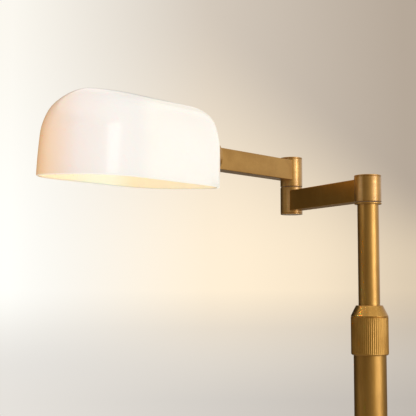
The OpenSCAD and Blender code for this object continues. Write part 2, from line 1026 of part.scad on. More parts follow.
module bulb_outline(shrink) {
    r = bulb_r - shrink;
    neck = bulb_cap_r - 0.3 - shrink;
    a = 180 - asin(neck / r);
    polygon(concat(
        [[0, bulb_neck_x], [neck, bulb_neck_x]],
        [for (i = [0 : 16])
            let (t = a * (1 - i / 16))
            [r * sin(t), bulb_centre_x + r * cos(t)]
        ]
    ));
}

module bulb_glass() {
    color([0.95, 0.95, 0.93])
        on_shade()
            along_x()
                rotate_extrude()
                    difference() {
                        bulb_outline(0);
                        bulb_outline(bulb_glass_t);
                    }
}

module bulb_stem() {
    color([0.9, 0.92, 0.92])
        on_shade()
            along_x()
                rotate_extrude()
                    polygon([
                        [0, bulb_neck_x], [4, bulb_neck_x], [1.2, bulb_neck_x + 10],
                        [1.2, bulb_centre_x + bulb_r / 2], [0, bulb_centre_x + bulb_r / 2]
                    ]);
}

module bulb_filaments() {
    color([1, 0.85, 0.5])
        on_shade()
            for (i = [0 : 3])
                rotate([45 + 90 * i, 0, 0])
                    translate([bulb_centre_x - bulb_r / 2, 0, 2.2])
                        along_x()
                            cylinder(r = 0.8, h = bulb_r);
}

// ---------- the nodes ----------

floor_pad();
base_weight();
base_cover();
cord_grommet();
base_washer();
base_nut();
column_nipple();
column_foot();
lower_tube();
tube_plug();
clamp_collet();
collar_washer();
column_lead();
height_collar();
upper_tube();
slide_bush();
pole_head();
hub_washer();
hub_spring();
hub_nut();
riser_lead();
hub_sleeve();
hub_cap();
lower_arm_bar();
lower_knuckle();
lower_knuckle_cap();
elbow_pivot();
elbow_washer();
elbow_spring();
elbow_nut();
lower_arm_lead();
upper_knuckle();
upper_knuckle_cap();
upper_arm_bar();
bar_end_plug();
swivel_washer();
upper_arm_lead();
swivel_nipple();
swivel_spring();
swivel_nut();
shade_disc();
outer_gasket();
glass_shade();
inner_gasket();
clamp_washer();
clamp_nut();
socket_cup();
socket_body();
socket_shell();
socket_contact();
bulb_cap();
bulb_glass();
bulb_stem();
bulb_filaments();
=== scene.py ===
"""Bridge floor lamp: finishes, detailed pieces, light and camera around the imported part."""

import json
import math

import bmesh
import bpy
from bpy.props import FloatProperty, FloatVectorProperty, IntProperty, PointerProperty
from mathutils import Matrix, Vector


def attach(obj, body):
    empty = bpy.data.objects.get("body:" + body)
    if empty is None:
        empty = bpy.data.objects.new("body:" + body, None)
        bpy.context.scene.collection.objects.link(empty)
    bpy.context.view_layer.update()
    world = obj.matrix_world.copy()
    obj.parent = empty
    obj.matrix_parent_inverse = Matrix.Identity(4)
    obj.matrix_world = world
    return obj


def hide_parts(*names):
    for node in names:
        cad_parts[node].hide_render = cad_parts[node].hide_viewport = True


bl_info = {
    "name": "Bridge floor lamp",
    "version": (1, 0, 0),
    "blender": (4, 5, 0),
    "location": "View3D > Sidebar > Lamp",
    "description": "Dresses the bridge floor lamp in brass and opal glass and sets its stage",
    "category": "Add Mesh",
}

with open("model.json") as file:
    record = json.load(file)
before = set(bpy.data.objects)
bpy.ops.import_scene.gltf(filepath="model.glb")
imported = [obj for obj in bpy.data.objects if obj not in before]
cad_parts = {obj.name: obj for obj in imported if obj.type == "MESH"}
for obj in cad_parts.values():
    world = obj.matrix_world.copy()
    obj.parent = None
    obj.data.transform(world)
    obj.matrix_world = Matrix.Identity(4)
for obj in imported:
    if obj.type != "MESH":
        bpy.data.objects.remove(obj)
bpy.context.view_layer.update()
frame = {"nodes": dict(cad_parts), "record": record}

MM = 0.001
TURN = 2 * math.pi
MERGE = 0.002 * MM  # points nearer than this become one
CUTTER_TURN = 0.02  # radians, so that no edge of a cutter lies on an edge of the piece
PALE = (0.72, 0.69, 0.645)  # the wall outside the picture, and the floor

# Sizes and angles of the part's source, in millimetres and degrees
LOWER_TURN, UPPER_TURN, SHADE_ROLL = 117, 230, -3.5
LOWER_ARM_LEN, UPPER_ARM_LEN = 143, 147.0
LOWER_BAR_UP, UPPER_BAR_UP = 1173.0, 1207.15
BAR_WIDTH, BAR_TALL, BAR_WALL = 16.2, 22.4, 1.5
HUB_RADIUS, KNUCKLE_RADIUS = 13.45, 12.4
COLLAR_BASE, COLLAR_SHOULDER, COLLAR_TOP = 1010.0, 1048.0, 1058.4
BASE_RADIUS, BASE_TOP, INLET_UP = 135, 26, 9
GLASS_START, GLASS_BORE = 170.45, 5.3
BULB_OUT, BULB_RADIUS = 54.7, 19.0

# The frames of the moving pieces at rest
LOWER = Matrix.Rotation(math.radians(LOWER_TURN), 4, "Z")
TO_ELBOW = Matrix.Translation((LOWER_ARM_LEN * MM, 0, 0))
UPPER = LOWER @ TO_ELBOW @ Matrix.Rotation(math.radians(UPPER_TURN - LOWER_TURN), 4, "Z")
TO_GLASS = Matrix.Translation((GLASS_START * MM, 0, UPPER_BAR_UP * MM))
SHADE = UPPER @ TO_GLASS @ Matrix.Rotation(math.radians(SHADE_ROLL), 4, "X")
BULB_SPOT = SHADE @ Vector((BULB_OUT * MM, 0, 0))
ALONG_X = Matrix.Rotation(math.radians(90), 4, "Y")
TO_REAR = Matrix.Translation((0, 0, INLET_UP * MM)) @ Matrix.Rotation(math.radians(-90), 4, "X")


# ---------- modelling ----------


def deselect_all():
    bpy.ops.object.select_all(action="DESELECT")


def make_active(obj):
    deselect_all()
    obj.select_set(True)
    bpy.context.view_layer.objects.active = obj


def select_in_edit(obj, kind, test):
    """Selects only the vertices, edges or faces that pass the test, in edit mode."""
    bpy.ops.mesh.select_mode(type=kind)
    bpy.ops.mesh.select_all(action="DESELECT")
    bm = bmesh.from_edit_mesh(obj.data)
    items = {"VERT": bm.verts, "EDGE": bm.edges, "FACE": bm.faces}[kind]
    for item in items:
        if test(item):
            item.select_set(True)
    bmesh.update_edit_mesh(obj.data)


def arc_points(x, y, r, start, end, steps):
    """Points along an arc, with the angles in degrees."""
    angles = [math.radians(start + (end - start) * i / steps) for i in range(steps + 1)]
    return [(x + r * math.cos(t), y + r * math.sin(t)) for t in angles]


def lathe(name, profile, steps=96):
    """Turns a profile of (radius, height) points, in millimetres, round +Z."""
    points = [(r * MM, z * MM) for r, z in profile]
    deselect_all()
    bpy.ops.mesh.primitive_plane_add(size=MM, location=(points[0][0], 0, points[0][1]))
    obj = bpy.context.object
    obj.name = name
    bpy.ops.object.mode_set(mode="EDIT")
    bpy.ops.mesh.select_mode(type="VERT")
    bpy.ops.mesh.select_all(action="SELECT")
    bpy.ops.mesh.merge(type="CENTER")
    for (r0, z0), (r1, z1) in zip(points, points[1:]):
        bpy.ops.mesh.extrude_region_move(TRANSFORM_OT_translate={"value": (r1 - r0, 0, z1 - z0)})
    bpy.ops.mesh.select_all(action="SELECT")
    bpy.ops.mesh.spin(steps=steps, angle=TURN, center=(0, 0, 0), axis=(0, 0, 1))
    bpy.ops.mesh.select_all(action="SELECT")
    bpy.ops.mesh.remove_doubles(threshold=MERGE)
    bpy.ops.mesh.delete_loose()
    bpy.ops.mesh.normals_make_consistent(inside=False)
    bpy.ops.object.mode_set(mode="OBJECT")
    bpy.ops.object.transform_apply(location=True, rotation=True, scale=True)
    return obj


def apply_modifier(obj, kind, **settings):
    make_active(obj)
    modifier = obj.modifiers.new(kind.title(), kind)
    for name, value in settings.items():
        setattr(modifier, name, value)
    bpy.ops.object.modifier_apply(modifier=modifier.name)


def cut_away(obj, radius, start, end, matrix=None):
    """Cuts a round hole along +Z, or along the matrix's Z, from start to end, in millimetres."""
    deselect_all()
    bpy.ops.mesh.primitive_cylinder_add(
        vertices=96,
        radius=radius * MM,
        depth=(end - start) * MM,
        location=(0, 0, (start + end) / 2 * MM),
        rotation=(0, 0, CUTTER_TURN),
    )
    cutter = bpy.context.object
    if matrix is not None:
        cutter.matrix_world = matrix @ cutter.matrix_world
    bpy.context.view_layer.update()
    apply_modifier(obj, "BOOLEAN", object=cutter, operation="DIFFERENCE")
    bpy.data.objects.remove(cutter)
    bpy.ops.object.mode_set(mode="EDIT")
    bpy.ops.mesh.select_all(action="SELECT")
    bpy.ops.mesh.remove_doubles(threshold=MERGE)
    bpy.ops.mesh.normals_make_consistent(inside=False)
    bpy.ops.object.mode_set(mode="OBJECT")


def finish_piece(obj, node, body, slot, matrix=None, smooth=35):
    """Puts a piece in its place, smooths it, and lets it stand for its CAD node."""
    make_active(obj)
    if matrix is not None:
        obj.matrix_world = matrix @ obj.matrix_world
    bpy.ops.object.transform_apply(location=True, rotation=True, scale=True)
    bpy.ops.object.shade_smooth_by_angle(angle=math.radians(smooth))
    apply_modifier(obj, "WEIGHTED_NORMAL", keep_sharp=True)
    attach(obj, body)
    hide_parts(node)
    obj.data.materials.clear()
    obj.data.materials.append(bpy.data.materials[slot])


# ---------- node trees ----------


def add(tree, kind, settings=None, **inputs):
    """Adds a node; an input that is a socket is linked, and any other value is set."""
    node = tree.nodes.new(kind)
    for name, value in (settings or {}).items():
        setattr(node, name, value)
    for name, value in inputs.items():
        fill(tree, node.inputs[name.replace("_", " ")], value)
    return node


def fill(tree, socket, value):
    if isinstance(value, bpy.types.NodeSocket):
        tree.links.new(value, socket)
    else:
        socket.default_value = value


def axes_of(tree, vector):
    return add(tree, "ShaderNodeSeparateXYZ", Vector=vector).outputs


def calc(tree, operation, a, b=0.0):
    node = tree.nodes.new("ShaderNodeMath")
    node.operation = operation
    fill(tree, node.inputs[0], a)
    fill(tree, node.inputs[1], b)
    return node.outputs[0]


def mix(tree, factor, a, b, blend="MIX"):
    node = tree.nodes.new("ShaderNodeMix")
    node.data_type = "RGBA"
    node.blend_type = blend
    fill(tree, node.inputs[0], factor)
    fill(tree, node.inputs[6], a if isinstance(a, bpy.types.NodeSocket) else (*a, 1))
    fill(tree, node.inputs[7], b if isinstance(b, bpy.types.NodeSocket) else (*b, 1))
    return node.outputs[2]


def spread(tree, value, low, high, to_low=0.0, to_high=1.0, kind="SMOOTHSTEP"):
    node = tree.nodes.new("ShaderNodeMapRange")
    node.interpolation_type = kind
    for i, v in enumerate((value, low, high, to_low, to_high)):
        fill(tree, node.inputs[i], v)
    return node.outputs[0]


def mix_shaders(tree, factor, a, b):
    node = tree.nodes.new("ShaderNodeMixShader")
    for socket, value in zip(node.inputs, (factor, a, b)):
        fill(tree, socket, value)
    return node.outputs[0]


def ramp(tree, value, stops):
    """Colours by value: stops are (value, colour), and all between them runs evenly."""
    low, high = stops[0][0], stops[-1][0]
    node = tree.nodes.new("ShaderNodeValToRGB")
    fill(tree, node.inputs[0], spread(tree, value, low, high, kind="LINEAR"))
    elements = node.color_ramp.elements
    places = [(place - low) / (high - low) for place, _ in stops]
    elements[0].position, elements[1].position = places[0], places[-1]
    elements[0].color, elements[1].color = (*stops[0][1], 1), (*stops[-1][1], 1)
    for place, (_, colour) in list(zip(places, stops))[1:-1]:
        elements.new(place).color = (*colour, 1)
    return node.outputs[0]


def placed(tree, scale=(1, 1, 1), turn=(0, 0, 0)):
    """Object coordinates, turned and scaled by a Mapping node."""
    spot = add(tree, "ShaderNodeTexCoord").outputs["Object"]
    return add(tree, "ShaderNodeMapping", Vector=spot, Scale=scale, Rotation=turn).outputs[0]


def noise(tree, vector, scale, detail=4.0, roughness=0.5, distortion=0.0):
    return add(
        tree,
        "ShaderNodeTexNoise",
        Vector=vector,
        Scale=scale,
        Detail=detail,
        Roughness=roughness,
        Distortion=distortion,
    ).outputs["Fac"]


def bump(tree, height, strength, distance):
    return add(tree, "ShaderNodeBump", Height=height, Strength=strength, Distance=distance).outputs[0]


def new_finish(name, **sockets):
    """A material with one shader, and its plain values on the shader's own sockets."""
    plain = bpy.data.materials.get(name)
    if plain is not None:
        plain.name = name + "_plain"
    material = bpy.data.materials.new(name)
    material.use_nodes = True
    tree = material.node_tree
    shader = tree.nodes["Principled BSDF"]
    for socket, value in sockets.items():
        shader.inputs[socket.replace("_", " ")].default_value = value
    return tree, shader


# ---------- finishes ----------


def brass(
    name,
    tone,
    dark,
    roughness,
    grain_scale,
    patches,
    turn=(0, 0, 0),
    grain_depth=0.3,
    coat=0.5,
    glaze=0.24,
    turned_from=None,
):
    """Aged satin brass under a thin lacquer: brushed grain, mottled patina and small dark specks.

    Above the height turned_from it is smoother, as fresh off the lathe."""
    tree, shader = new_finish(
        name, Metallic=1.0, Coat_Weight=coat, Coat_Roughness=glaze, Coat_IOR=1.6
    )
    grain = noise(tree, placed(tree, grain_scale, turn), 1.0, 5.0, 0.65)
    cloud = noise(tree, placed(tree, patches, turn), 1.0, 5.0, 0.6, 0.2)
    speck = noise(tree, placed(tree), 900.0, 3.0, 0.6)
    aged = spread(tree, cloud, 0.38, 0.68)
    colour = mix(tree, aged, tone, dark)
    colour = mix(tree, spread(tree, grain, 0.3, 0.75, 0.0, 0.35), colour, [c * 0.7 for c in dark])
    colour = mix(tree, spread(tree, speck, 0.68, 0.8, 0.0, 0.5), colour, [c * 0.35 for c in dark])
    fill(tree, shader.inputs["Base Color"], colour)
    rough = spread(tree, grain, 0.25, 0.75, roughness - 0.05, roughness + 0.07)
    rough = calc(tree, "ADD", rough, spread(tree, aged, 0.0, 1.0, 0.0, 0.05))
    if turned_from is not None:
        up = axes_of(tree, placed(tree))[2]
        smoother = spread(tree, up, turned_from, turned_from + 0.5 * MM, 0.0, 0.14)
        rough = calc(tree, "SUBTRACT", rough, smoother)
    fill(tree, shader.inputs["Roughness"], rough)
    height = calc(tree, "ADD", grain, calc(tree, "MULTIPLY", speck, 0.25))
    fill(tree, shader.inputs["Normal"], bump(tree, height, grain_depth, 0.02 * MM))


def make_brasses(look):
    tone, dark = list(look.brass_tone), list(look.brass_dark)
    # The scales of the grain and the patina, finest across the way that each was brushed
    around, upright, knurled = (60.0, 60.0, 2600.0), (420.0, 420.0, 14.0), (900.0, 900.0, 14.0)
    spun, along = (160.0, 160.0, 900.0), (30.0, 2200.0, 2200.0)
    blotches, runs, drifts = (45.0, 45.0, 45.0), (60.0, 60.0, 16.0), (6.0, 28.0, 28.0)
    lower_way = (0, 0, -math.radians(LOWER_TURN))
    upper_way = (0, 0, -math.radians(UPPER_TURN))
    brass("brass_tube", tone, dark, 0.36, upright, runs, grain_depth=0.2)
    brass("brass_joint", tone, dark, 0.37, around, blotches, grain_depth=0.2, coat=1.0, glaze=0.22)
    brass("brass_base", tone, dark, 0.34, spun, blotches)
    brass(
        "brass_collar",
        tone,
        dark,
        0.40,
        knurled,
        blotches,
        grain_depth=0.9,
        coat=0.3,
        turned_from=COLLAR_SHOULDER * MM,
    )
    brass("brass_collet", [0.62, 0.44, 0.18], [0.5, 0.34, 0.13], 0.3, around, blotches)
    brass("brass_bar_lower", tone, dark, 0.34, along, drifts, lower_way, coat=0.1)
    brass("brass_bar", tone, dark, 0.36, along, drifts, upper_way)


def painted_glass_glow(tree, look, spot):
    """Painted glow in the glass's emission, for the bulb's light through it: white by the bulb, then
    rosy, and orange at the far end.
    """
    x, _, z = axes_of(tree, spot)
    stops = (
        (-0.305, look.glow_far),
        (-0.270, look.glow_rosy),
        (-0.240, look.glow_mid),
        (-0.2195, look.glow_mid),
        (-0.206, look.glow_near),
        (-0.150, look.glow_near),
    )
    outer = ramp(tree, x, stops)
    # Painted shade makes the crown a little dimmer, and painted light makes the rim, which faces down,
    # brighter
    outer = mix(tree, spread(tree, z, 1.205, 1.25, 0.0, 0.12), outer, (0, 0, 0))
    normal = add(tree, "ShaderNodeTexCoord").outputs["Normal"]
    facing_up = axes_of(tree, normal)[2]
    outer = mix(tree, spread(tree, facing_up, -0.9, -0.2, 0.5, 0.0), outer, (1.6, 1.6, 1.45))
    # The inside's painted glow, warmer at the far end and beside the bulb
    stops = (
        (-0.300, [1.25 * c for c in look.glow_inside_far]),
        (-0.272, look.glow_inside),
        (-0.255, look.glow_inside),
        (-0.235, look.glow_inside_far),
    )
    inner = ramp(tree, x, stops)
    # A face is outside where it looks away from the bulb
    away = add(tree, "ShaderNodeVectorMath", {"operation": "SUBTRACT"}, Vector=spot).outputs[0]
    fill(tree, away.node.inputs[1], BULB_SPOT)
    outward = add(tree, "ShaderNodeVectorMath", {"operation": "DOT_PRODUCT"}, Vector=away)
    fill(tree, outward.inputs[1], normal)
    return mix(tree, spread(tree, outward.outputs["Value"], -0.004, 0.004), inner, outer)


def make_opal_glass(look):
    """Cased opal glass, with a painted glow in its emission for the bulb's light inside: white round the
    bulb, warmer and dimmer at the far end.
    """
    tree, shader = new_finish(
        "opal_glass",
        Roughness=0.2,
        Subsurface_Weight=0.25,
        Subsurface_Scale=0.006,
        Coat_Weight=0.25,
        Coat_Roughness=0.08,
    )
    spot = placed(tree)
    wisps = noise(tree, placed(tree, (9, 9, 22)), 1.0, 4.0, 0.55, 0.8)
    colour = mix(tree, spread(tree, wisps, 0.35, 0.7), (0.86, 0.83, 0.79), (0.80, 0.77, 0.73))
    fill(tree, shader.inputs["Base Color"], colour)
    # The emission is painted glow, standing for the bulb's light through the glass
    fill(tree, shader.inputs["Emission Color"], painted_glass_glow(tree, look, spot))
    shader.inputs["Emission Strength"].default_value = look.glow
    ripple = noise(tree, placed(tree, (14, 14, 14)), 1.0, 2.0)
    fill(tree, shader.inputs["Normal"], bump(tree, ripple, 0.05, 1.0 * MM))


def make_soft_finishes():
    # Needled felt
    tree, shader = new_finish("felt", Roughness=0.95, Sheen_Weight=0.6, Sheen_Roughness=0.6)
    fibre = noise(tree, placed(tree, (900, 900, 500)), 1.0, 6.0, 0.7, 2.0)
    tuft = noise(tree, placed(tree), 120.0, 4.0)
    colour = mix(tree, spread(tree, fibre, 0.3, 0.7), (0.012, 0.012, 0.014), (0.045, 0.045, 0.05))
    colour = mix(tree, spread(tree, tuft, 0.5, 0.75, 0, 0.5), colour, (0.06, 0.058, 0.06))
    fill(tree, shader.inputs["Base Color"], colour)
    fill(tree, shader.inputs["Normal"], bump(tree, fibre, 0.8, 0.4 * MM))

    # Painted casting
    tree, shader = new_finish("cast_iron", Roughness=0.6)
    grit = noise(tree, placed(tree), 700.0, 6.0, 0.65)
    sag = noise(tree, placed(tree), 45.0, 3.0)
    colour = mix(tree, spread(tree, sag, 0.4, 0.65), (0.022, 0.022, 0.024), (0.04, 0.039, 0.04))
    fill(tree, shader.inputs["Base Color"], colour)
    fill(tree, shader.inputs["Normal"], bump(tree, grit, 0.7, 0.5 * MM))
    fill(tree, shader.inputs["Roughness"], spread(tree, grit, 0.3, 0.7, 0.45, 0.75))

    # Moulded rubber, silicone, nylon and the leads' sheath
    for name, light, shade, scale, rough, depth in (
        ("rubber_black", (0.02, 0.02, 0.021), (0.011, 0.011, 0.012), 600.0, 0.6, 0.35),
        ("silicone", (0.72, 0.70, 0.66), (0.62, 0.60, 0.56), 260.0, 0.45, 0.15),
        ("nylon", (0.34, 0.21, 0.095), (0.27, 0.16, 0.07), 420.0, 0.45, 0.25),
        ("lead_sheath", (0.66, 0.65, 0.61), (0.55, 0.54, 0.50), 240.0, 0.32, 0.15),
    ):
        tree, shader = new_finish(name)
        grain = noise(tree, placed(tree), scale, 5.0, 0.6)
        cloud = noise(tree, placed(tree), scale / 9, 3.0)
        fill(tree, shader.inputs["Base Color"], mix(tree, spread(tree, cloud, 0.35, 0.7), light, shade))
        fill(tree, shader.inputs["Roughness"], spread(tree, grain, 0.3, 0.7, rough - 0.06, rough + 0.1))
        fill(tree, shader.inputs["Normal"], bump(tree, grain, depth, 0.05 * MM))


def make_hard_finishes():
    # Plated metals: zinc, the cap's nickel and the copper contact
    for name, light, shade, rough in (
        ("steel_zinc", (0.62, 0.62, 0.60), (0.48, 0.49, 0.50), 0.34),
        ("bulb_cap_nickel", (0.66, 0.63, 0.58), (0.52, 0.49, 0.45), 0.24),
        ("contact_copper", (0.72, 0.38, 0.22), (0.50, 0.24, 0.13), 0.3),
    ):
        tree, shader = new_finish(name, Metallic=1.0)
        spangle = add(tree, "ShaderNodeTexVoronoi", Vector=placed(tree), Scale=700.0).outputs["Distance"]
        cloud = noise(tree, placed(tree), 90.0, 5.0, 0.6)
        fill(tree, shader.inputs["Base Color"], mix(tree, spread(tree, cloud, 0.35, 0.7), light, shade))
        dull = spread(tree, spangle, 0.0, 0.8, rough - 0.05, rough + 0.1)
        fill(tree, shader.inputs["Roughness"], dull)
        fill(tree, shader.inputs["Normal"], bump(tree, spangle, 0.2, 0.02 * MM))

    # Glazed porcelain
    tree, shader = new_finish(
        "porcelain", Roughness=0.25, Coat_Weight=0.5, Coat_Roughness=0.08
    )
    speck = noise(tree, placed(tree), 500.0, 4.0, 0.7)
    colour = mix(tree, spread(tree, speck, 0.64, 0.74), (0.80, 0.78, 0.73), (0.42, 0.36, 0.28))
    fill(tree, shader.inputs["Base Color"], colour)
    wave = noise(tree, placed(tree), 60.0, 2.0)
    fill(tree, shader.inputs["Normal"], bump(tree, wave, 0.1, 0.4 * MM))

    # The bulb: frosted globe, inner glass and its filaments
    tree, shader = new_finish(
        "bulb_frost", Roughness=0.5, Subsurface_Weight=0.3, Emission_Strength=1.0
    )
    frost = noise(tree, placed(tree), 800.0, 3.0)
    fill(tree, shader.inputs["Base Color"], mix(tree, frost, (0.85, 0.84, 0.80), (0.75, 0.73, 0.68)))
    heart = add(tree, "ShaderNodeVectorMath", {"operation": "DISTANCE"}, Vector=placed(tree))
    heart.inputs[1].default_value = BULB_SPOT
    outer = spread(tree, heart.outputs["Value"], 0.016, 0.03)
    warm = mix(tree, outer, (1.0, 0.93, 0.78), (0.9, 0.68, 0.42))
    fill(tree, shader.inputs["Emission Color"], warm)
    fill(tree, shader.inputs["Normal"], bump(tree, frost, 0.2, 0.05 * MM))

    tree, shader = new_finish("bulb_inner_glass", Roughness=0.1, Transmission_Weight=0.7)
    bubble = noise(tree, placed(tree), 300.0, 3.0)
    fill(tree, shader.inputs["Base Color"], mix(tree, bubble, (0.85, 0.88, 0.88), (0.72, 0.77, 0.78)))
    fill(tree, shader.inputs["Normal"], bump(tree, bubble, 0.1, 0.1 * MM))

    tree, shader = new_finish("filament", Roughness=0.6, Emission_Strength=2.5)
    coating = noise(tree, placed(tree), 1200.0, 3.0)
    fill(tree, shader.inputs["Base Color"], mix(tree, coating, (0.9, 0.6, 0.2), (0.8, 0.45, 0.12)))
    fill(tree, shader.inputs["Emission Color"], mix(tree, coating, (1.0, 0.78, 0.42), (1.0, 0.62, 0.28)))


# ---------- properties ----------


def colour_property(name, description, default):
    return FloatVectorProperty(
        name=name, description=description, subtype="COLOR", size=3, default=default
    )


class LampLook(bpy.types.PropertyGroup):
    """Colours of the lamp's brass and of the painted glow that its glass gives off."""

    brass_tone: colour_property("Brass", "Colour of the rubbed brass", (0.60, 0.328, 0.074))
    brass_dark: colour_property(
        "Aged brass", "Colour of the brass where it has darkened", (0.47, 0.24, 0.043)
    )
    glow_near: colour_property("Glow at the bulb", "Outside, beside the bulb", (1.0, 1.0, 0.91))
    glow_mid: colour_property("Glow past the bulb", "Outside, past the bulb", (0.84, 0.85, 0.82))
    glow_rosy: colour_property(
        "Glow towards the end", "Outside, towards the far end", (0.87, 0.76, 0.70)
    )
    glow_far: colour_property("Glow at the end", "Outside, at the far end", (0.86, 0.40, 0.05))
    glow_inside: colour_property("Glow inside", "Inside, past the bulb", (0.67, 0.78, 0.60))
    glow_inside_far: colour_property(
        "Warm glow inside", "Inside, at the far end and beside the bulb", (0.72, 0.54, 0.28)
    )
    glow: FloatProperty(
        name="Glow", description="Strength of the lit glass", default=0.55, min=0, max=3
    )


class LampShape(bpy.types.PropertyGroup):
    """Sizes of the details that only the dressed lamp has."""

    edge_round: FloatProperty(
        name="Edge rounding",
        description="Rounding of the bars' long edges, in mm",
        default=0.6,
        min=0.2,
        max=1.2,
    )
    reeds: IntProperty(
        name="Reeds", description="Grooves round the clamp collar", default=60, min=40, max=72
    )
    reed_depth: FloatProperty(
        name="Reed depth",
        description="Depth of the collar's grooves, in mm",
        default=0.3,
        min=0.2,
        max=0.4,
    )
    thread_depth: FloatProperty(
        name="Thread depth",
        description="Depth of the bulb cap's rolled thread, in mm",
        default=0.45,
        min=0.2,
        max=0.8,
    )


class LampStage(bpy.types.PropertyGroup):
    """Camera, light and background."""

    lens: FloatProperty(
        name="Lens",
        description="Focal length of the camera",
        default=81.95,
        min=20,
        max=200,
        unit="CAMERA",
    )
    place: FloatVectorProperty(
        name="Camera place",
        description="Where the camera stands",
        subtype="TRANSLATION",
        size=3,
        default=(-0.15945, -0.9405, 1.0786),
    )
    tilt: FloatProperty(
        name="Tilt",
        description="How far the camera looks up",
        subtype="ANGLE",
        default=math.radians(4.64),
    )
    key: FloatProperty(
        name="Key light", description="Power of the right soft box, in watts", default=11.5, min=0
    )
    strip: FloatProperty(
        name="Strip light",
        description="Power of the narrow strip before the right soft box, in watts",
        default=3.2,
        min=0,
    )
    top: FloatProperty(
        name="Top light", description="Power of the overhead soft box, in watts", default=7, min=0
    )
    streak: FloatProperty(
        name="Streak light",
        description="Power of the box that the glass reflects, in watts",
        default=6,
        min=0,
    )
    bulb: FloatProperty(
        name="Bulb", description="Power of the light in the bulb, in watts", default=0.5, min=0
    )


# ---------- operators ----------


class LAMP_OT_finishes(bpy.types.Operator):
    """Makes every finish and puts it on the CAD nodes that wear it"""

    bl_idname = "lamp.finishes"
    bl_label = "Make the finishes"

    def execute(self, context):
        look = context.scene.lamp_look
        make_brasses(look)
        make_opal_glass(look)
        make_soft_finishes()
        make_hard_finishes()
        for part in frame["record"]["subparts"]:
            name = part["material_slot"]
            if part["node"] == "lower_arm_bar":
                name = "brass_bar_lower"  # its grain runs along its own direction
            mesh = frame["nodes"][part["node"]].data
            mesh.materials.clear()
            mesh.materials.append(bpy.data.materials[name])
        return {"FINISHED"}


class LAMP_OT_arm_bars(bpy.types.Operator):
    """Models both hollow arm bars, with rounded long edges and ends coped to the round joints"""

    bl_idname = "lamp.arm_bars"
    bl_label = "Model the arm bars"

    def block(self, start, end, height, width, tall):
        """A block along +X, given in millimetres."""
        deselect_all()
        middle = ((start + end) / 2 * MM, 0, height * MM)
        bpy.ops.mesh.primitive_cube_add(size=1, location=middle)
        obj = bpy.context.object
        obj.scale = ((end - start) * MM, width * MM, tall * MM)
        bpy.ops.object.transform_apply(location=True, rotation=True, scale=True)
        return obj

    def bar(self, name, start, end, height, edge):
        obj = self.block(start, end, height, BAR_WIDTH, BAR_TALL)
        obj.name = name
        bpy.ops.object.mode_set(mode="EDIT")
        select_in_edit(
            obj, "EDGE", lambda e: abs((e.verts[0].co - e.verts[1].co).normalized().x) > 0.99
        )
        bpy.ops.mesh.bevel(offset=edge * MM, segments=4, affect="EDGES")
        bpy.ops.object.mode_set(mode="OBJECT")
        inside = (BAR_WIDTH - 2 * BAR_WALL, BAR_TALL - 2 * BAR_WALL)
        core = self.block(start - 1, end + 1, height, *inside)
        apply_modifier(obj, "BOOLEAN", object=core, operation="DIFFERENCE")
        bpy.data.objects.remove(core)
        return obj

    def cope(self, obj, radius, height, matrix=None):
        """Cuts a bar's end to the round joint that it meets."""
        cut_away(obj, radius, height - BAR_TALL, height + BAR_TALL, matrix)

    def execute(self, context):
        edge = context.scene.lamp_shape.edge_round
        obj = self.bar("lower_arm_bar_brushed", 6.7, 136.8, LOWER_BAR_UP, edge)
        self.cope(obj, HUB_RADIUS, LOWER_BAR_UP)
        self.cope(obj, KNUCKLE_RADIUS, LOWER_BAR_UP, TO_ELBOW)
        finish_piece(obj, "lower_arm_bar", "lower_arm", "brass_bar", LOWER, 40)
        obj.data.materials[0] = bpy.data.materials["brass_bar_lower"]
        obj = self.bar("upper_arm_bar_brushed", 6.2, UPPER_ARM_LEN, UPPER_BAR_UP, edge)
        self.cope(obj, KNUCKLE_RADIUS, UPPER_BAR_UP)
        finish_piece(obj, "upper_arm_bar", "upper_arm", "brass_bar", UPPER, 40)
        return {"FINISHED"}


